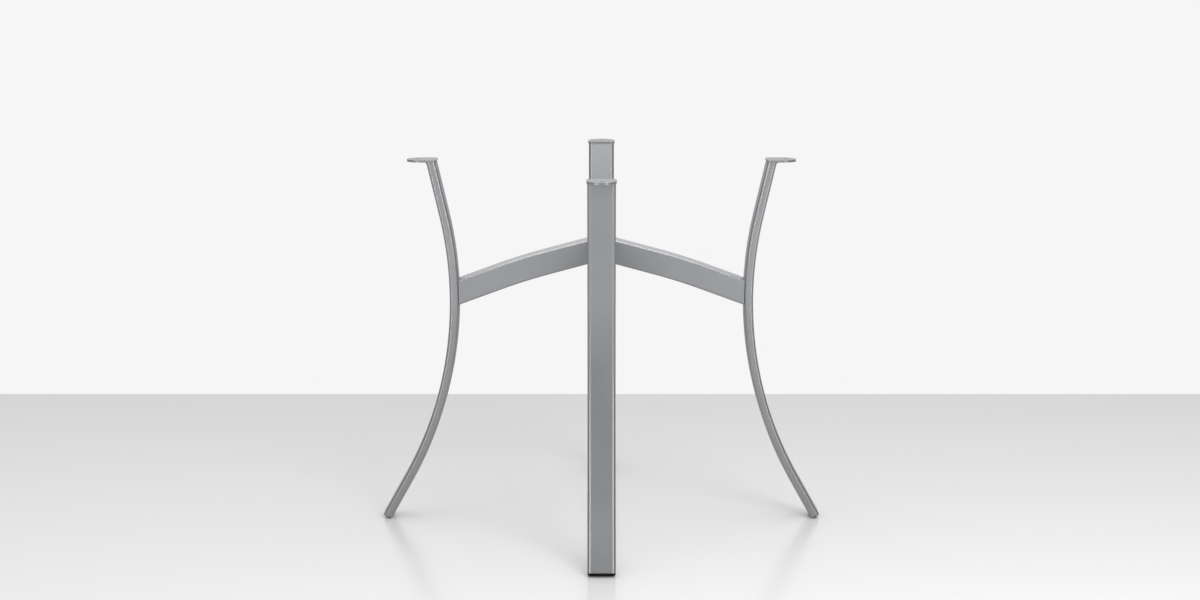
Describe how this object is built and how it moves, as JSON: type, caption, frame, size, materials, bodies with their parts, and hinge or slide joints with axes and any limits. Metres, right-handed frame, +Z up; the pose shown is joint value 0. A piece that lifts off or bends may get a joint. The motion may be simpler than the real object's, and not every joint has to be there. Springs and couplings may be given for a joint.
{
  "type": "dining table base",
  "caption": "Dining-height table base: bowed legs of flat rounded tube on a cross of arched arms, with a screw plate on top of each leg.",
  "frame": {"origin": "on the floor, under the middle of the cross of arms", "axes": "+Z up; the four legs stand along +X, +Y, -X and -Y, and the side seen in the picture faces -Y"},
  "size_m": [0.8444, 0.8444, 0.6985],
  "materials": {
    "frame_coating": "satin grey powder coat over welded aluminium tube and plate",
    "foot_plastic": "black moulded plastic, fine matte grain"
  },
  "bodies": {
    "root": {"leg_right": "frame_coating", "leg_back": "frame_coating", "leg_left": "frame_coating", "leg_front": "frame_coating", "pad_right": "frame_coating", "pad_back": "frame_coating", "pad_left": "frame_coating", "pad_front": "frame_coating", "pad_weld_right": "frame_coating", "pad_weld_back": "frame_coating", "pad_weld_left": "frame_coating", "pad_weld_front": "frame_coating", "arm_right": "frame_coating", "arm_back": "frame_coating", "arm_left": "frame_coating", "arm_front": "frame_coating", "foot_plug_right": "foot_plastic", "foot_plug_back": "foot_plastic", "foot_plug_left": "foot_plastic", "foot_plug_front": "foot_plastic"}
  },
  "joints": []
}
